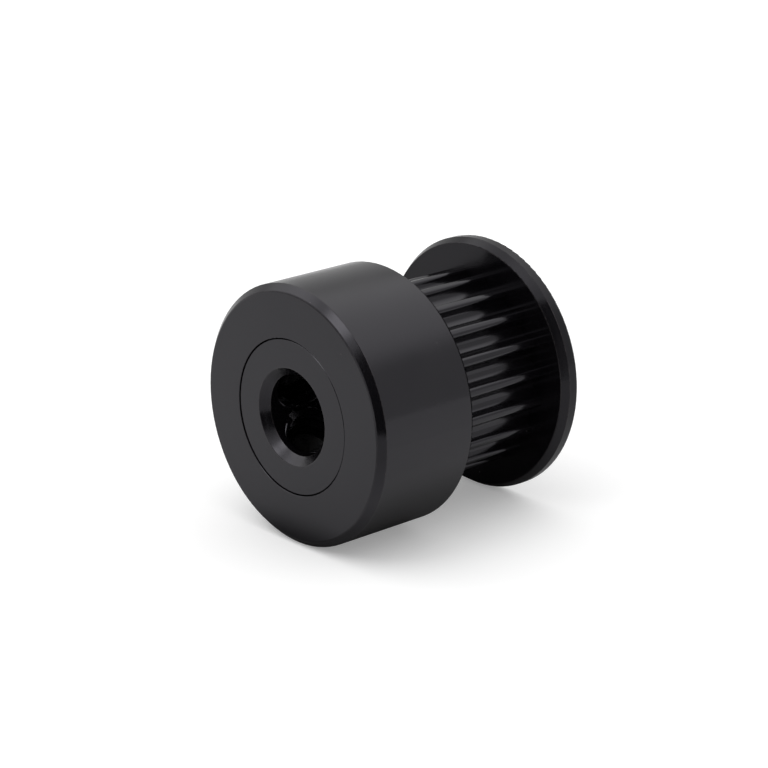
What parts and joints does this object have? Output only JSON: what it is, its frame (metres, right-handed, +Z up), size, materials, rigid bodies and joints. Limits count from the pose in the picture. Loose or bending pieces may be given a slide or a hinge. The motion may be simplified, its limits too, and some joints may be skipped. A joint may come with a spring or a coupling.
{
  "type": "timing belt pulley",
  "caption": "Toothed pulley for a narrow timing belt, with a hub collar, one end flange, a plain bore and radial set screws in the hub.",
  "frame": {"origin": "on the bore's axis, in the middle plane of the belt track", "axes": "+Y along the bore from the hub to the end flange, +Z up, +X square to both; angles about the bore run from +X towards +Z, and a belt groove is centred on +X"},
  "size_m": [0.016, 0.0159, 0.016],
  "materials": {
    "black_anodised": "turned, black anodised, satin",
    "blackened_steel": "black oxide, lightly oiled"
  },
  "bodies": {
    "pulley": {"toothed_core": "black_anodised", "hub_collar": "black_anodised", "end_flange": "black_anodised"},
    "set_screw_1": {"set_screw_1": "blackened_steel"},
    "set_screw_2": {"set_screw_2": "blackened_steel"}
  },
  "joints": [
    {"name": "set_screw_1_travel", "type": "slide", "parent": "pulley", "child": "set_screw_1", "axis": [-0.891, 0, 0.454], "range_m": [-0.0014, 0.0049]},
    {"name": "set_screw_2_travel", "type": "slide", "parent": "pulley", "child": "set_screw_2", "axis": [-0.454, 0, -0.891], "range_m": [-0.0014, 0.0049]}
  ]
}
